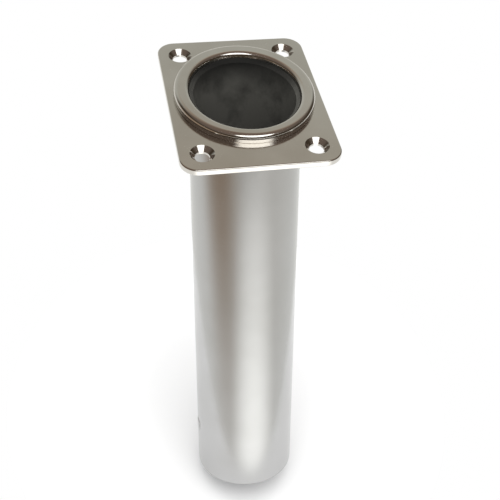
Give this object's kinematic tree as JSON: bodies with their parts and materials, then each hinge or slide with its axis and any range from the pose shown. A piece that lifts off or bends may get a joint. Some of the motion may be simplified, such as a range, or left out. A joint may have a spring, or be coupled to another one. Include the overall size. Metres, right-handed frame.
{
  "type": "rod holder",
  "caption": "Flush-mount fishing rod holder: rectangular screw-down flange with a raised oval rim, a tilted steel tube, a black liner and a cross pin at its lower end.",
  "frame": {"origin": "centre of the screw pattern on the flange's underside, where the tube's axis crosses it", "axes": "+Z out of the deck, square to the flange; +X across the flange; the tube's lower end leans towards -Y by 20 degrees"},
  "size_m": [0.069, 0.1379, 0.2068],
  "materials": {
    "polished_steel": "polished",
    "satin_steel": "satin",
    "weld_steel": "as welded and cleaned",
    "liner_black": "satin black vinyl"
  },
  "bodies": {
    "root": {"flange_plate": "polished_steel", "rim_collar": "polished_steel", "holder_tube": "satin_steel", "flange_weld": "weld_steel", "liner_sleeve": "liner_black", "gimbal_pin": "satin_steel", "gimbal_pin_welds": "weld_steel"}
  },
  "joints": []
}
